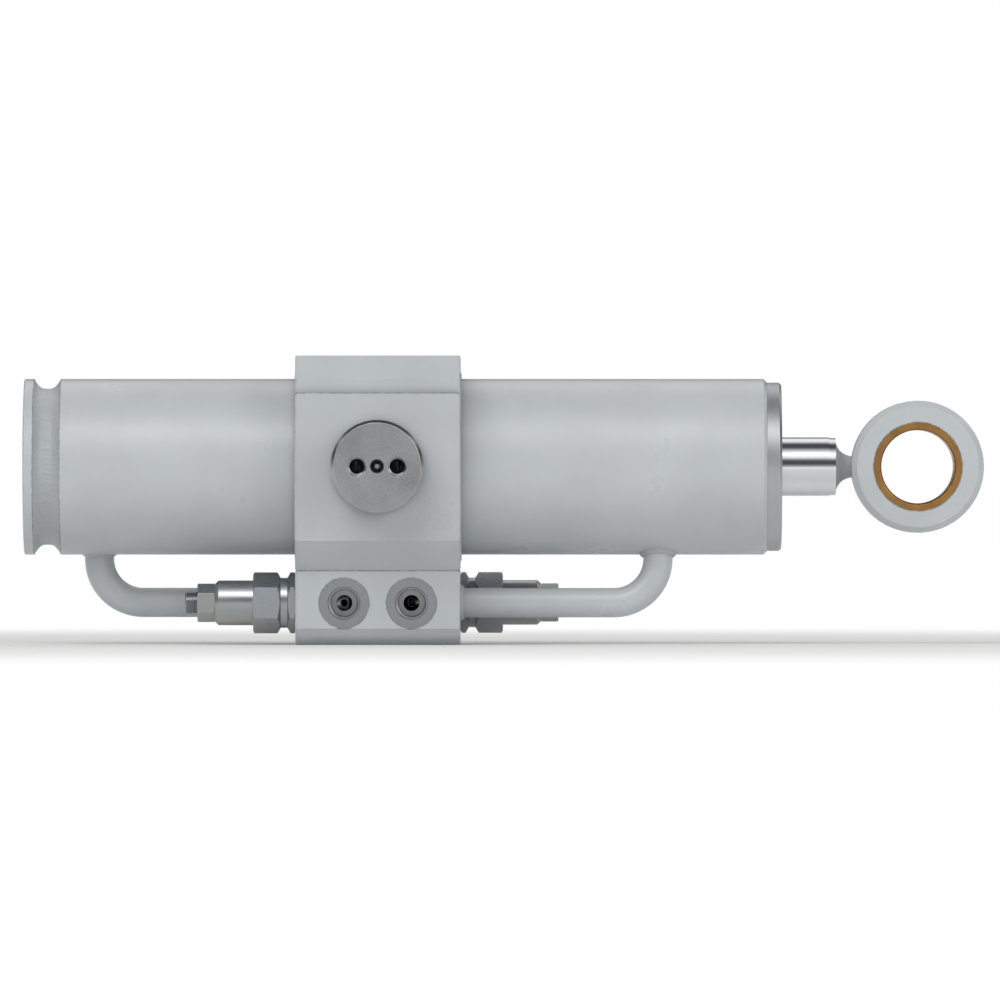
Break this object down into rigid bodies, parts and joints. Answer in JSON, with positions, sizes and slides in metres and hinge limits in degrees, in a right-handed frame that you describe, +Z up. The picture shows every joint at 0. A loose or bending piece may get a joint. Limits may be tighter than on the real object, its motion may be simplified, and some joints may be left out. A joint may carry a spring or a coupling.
{
  "type": "hydraulic slave cylinder",
  "caption": "Double-acting hydraulic cylinder on side trunnions, with a ported manifold, counterbalance cartridges, pipes to each end and a bushed rod eye.",
  "frame": {"origin": "where the trunnion axis crosses the barrel axis", "axes": "+X along the barrel axis towards the rod eye, +Z up, ports facing -Y; the trunnion axis is Y; the rod is fully retracted"},
  "size_m": [0.6545, 0.26, 0.1965],
  "materials": {
    "enamel": "light grey machine enamel, semi-gloss",
    "weld_steel": "weld bead under the enamel",
    "ground_steel": "ground bright steel",
    "hard_chrome": "polished hard chrome",
    "anodised_aluminium": "natural anodised, fine turned",
    "zinc_steel": "bright zinc plate",
    "black_oxide": "black oxide",
    "bronze": "machined bronze",
    "spring_steel": "oil-tempered spring steel",
    "nitrile": "matt black nitrile",
    "polyurethane": "blue polyurethane",
    "ptfe": "bronze-filled PTFE",
    "nylon": "natural nylon"
  },
  "bodies": {
    "housing": {"barrel_tube": "enamel", "base_cap": "enamel", "base_weld": "weld_steel", "trunnion_block": "enamel", "block_welds": "weld_steel", "trunnion_pin_front": "ground_steel", "trunnion_pin_back": "ground_steel", "manifold_block": "enamel", "manifold_screws": "black_oxide", "pipe_base_side": "enamel", "pipe_rod_side": "enamel", "pipe_welds": "weld_steel", "gland": "anodised_aluminium", "gland_o_ring": "nitrile", "gland_backup_ring": "ptfe", "gland_mouth_ring": "nitrile", "gland_lock_plug": "nylon", "rod_seal": "polyurethane", "rod_seal_backup": "nylon", "rod_guide_band": "ptfe", "rod_wiper": "polyurethane", "cartridge_body_left": "zinc_steel", "adjuster_sleeve_left": "zinc_steel", "locknut_left": "zinc_steel", "valve_spring_left": "spring_steel", "valve_poppet_left": "ground_steel", "cartridge_seals_left": "nitrile", "cartridge_body_right": "zinc_steel", "adjuster_sleeve_right": "zinc_steel", "locknut_right": "zinc_steel", "valve_spring_right": "spring_steel", "valve_poppet_right": "ground_steel", "cartridge_seals_right": "nitrile"},
    "piston_rings": {"piston_side_rings": "nylon", "piston_glide_ring": "ptfe", "piston_wear_band": "ptfe"},
    "rod": {"piston_rod": "hard_chrome", "piston": "anodised_aluminium", "piston_nut": "black_oxide", "piston_energiser": "nitrile", "piston_static_o_ring": "nitrile", "piston_static_backup": "nylon", "rod_end_weld": "weld_steel", "rod_eye": "enamel", "eye_bush": "bronze"},
    "spring_plate_left": {"spring_plate_left": "ground_steel"},
    "adjusting_screw_left": {"adjusting_screw_left": "zinc_steel"},
    "spring_plate_right": {"spring_plate_right": "ground_steel"},
    "adjusting_screw_right": {"adjusting_screw_right": "zinc_steel"}
  },
  "joints": [
    {"name": "rod_slide", "type": "slide", "parent": "housing", "child": "piston_rings", "axis": [1, 0, 0], "range_m": [0, 0.295]},
    {"name": "rod_turn", "type": "hinge", "parent": "piston_rings", "child": "rod", "pos_m": [0.3, 0, 0], "axis": [1, 0, 0], "continuous": true},
    {"name": "plate_slide_left", "type": "slide", "parent": "housing", "child": "spring_plate_left", "axis": [-1, 0, 0], "range_m": [0, 0.003], "deforming": ["valve_spring_left"]},
    {"name": "adjuster_turn_left", "type": "hinge", "parent": "spring_plate_left", "child": "adjusting_screw_left", "pos_m": [-0.12, -0.023, -0.0928], "axis": [1, 0, 0], "range_deg": [0, 720]},
    {"name": "plate_slide_right", "type": "slide", "parent": "housing", "child": "spring_plate_right", "axis": [1, 0, 0], "range_m": [0, 0.003], "deforming": ["valve_spring_right"]},
    {"name": "adjuster_turn_right", "type": "hinge", "parent": "spring_plate_right", "child": "adjusting_screw_right", "pos_m": [0.12, 0.023, -0.0928], "axis": [-1, 0, 0], "range_deg": [0, 720]}
  ],
  "couplings": [
    {"joint": "adjuster_turn_left", "follows": "plate_slide_left", "rad_per_m": 4188.8},
    {"joint": "adjuster_turn_right", "follows": "plate_slide_right", "rad_per_m": 4188.8}
  ]
}
